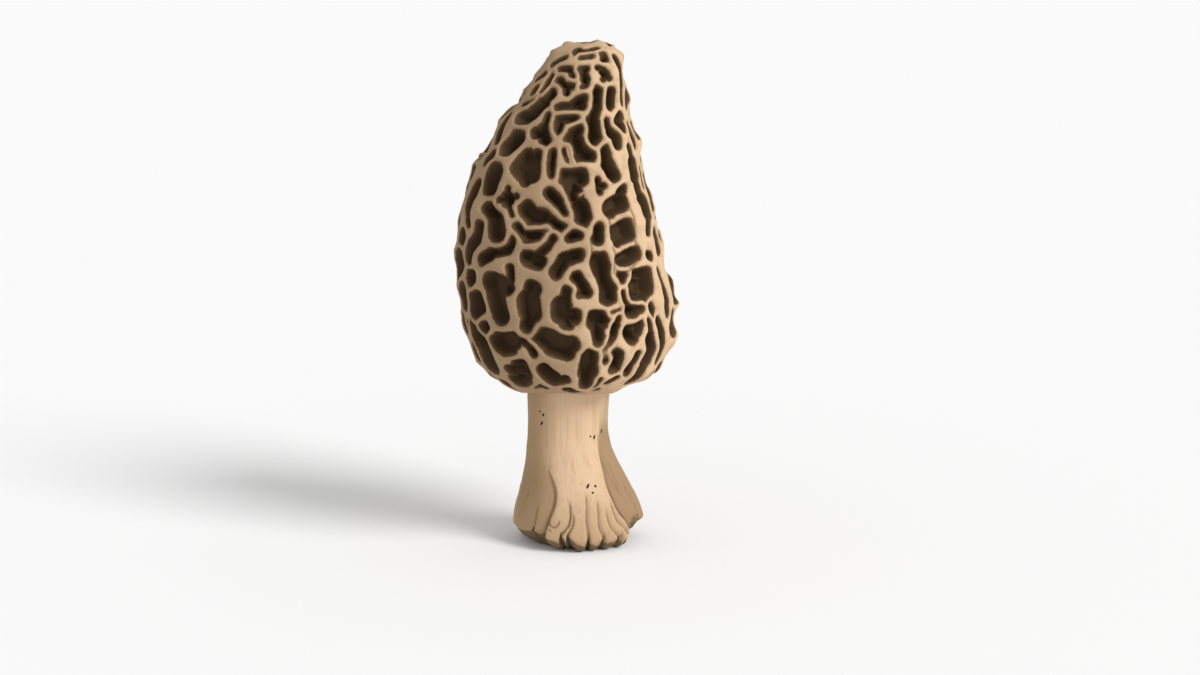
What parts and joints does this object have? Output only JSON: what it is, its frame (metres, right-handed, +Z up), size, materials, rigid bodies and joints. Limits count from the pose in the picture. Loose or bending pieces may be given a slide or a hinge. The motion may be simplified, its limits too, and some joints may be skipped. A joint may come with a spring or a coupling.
{
  "type": "morel mushroom",
  "caption": "Fresh morel with a tall honeycomb cap of deep ridged pits on a smooth pale stem, standing upright on its pleated cut foot as food or woodland dressing.",
  "frame": {"origin": "on the floor under the middle of the part's bounding box", "axes": "+Z up the stem from the cut foot to the apex, -Y the front, +X the side the crown leans to"},
  "size_m": [0.0526, 0.0476, 0.1189],
  "materials": {
    "flesh": null
  },
  "bodies": {
    "root": {"morel": "flesh"}
  },
  "joints": []
}
